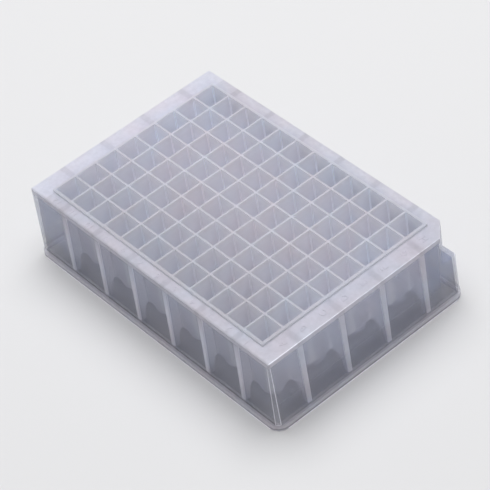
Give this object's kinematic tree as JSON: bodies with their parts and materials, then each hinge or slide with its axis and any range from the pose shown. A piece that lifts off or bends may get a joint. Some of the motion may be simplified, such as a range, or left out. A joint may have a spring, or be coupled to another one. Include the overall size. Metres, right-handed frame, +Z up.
{
  "type": "well plate",
  "caption": "Translucent moulded laboratory plate: a raised block of square, round-bottomed wells in a flat deck, with a ribbed leaning skirt, a stepped foot and one keyed corner.",
  "frame": {"origin": "centre of the footprint, on the surface the plate stands on", "axes": "+X along the long side, towards column 1; +Y along the short side, away from row A; +Z up, out of the wells. The keyed corner is at +X +Y, beside well H1."},
  "size_m": [0.1278, 0.0854, 0.0316],
  "materials": {
    "polypropylene": "natural translucent polypropylene, as moulded, with a soft satin sheen"
  },
  "bodies": {
    "root": {"well_plate": "polypropylene"}
  },
  "joints": []
}
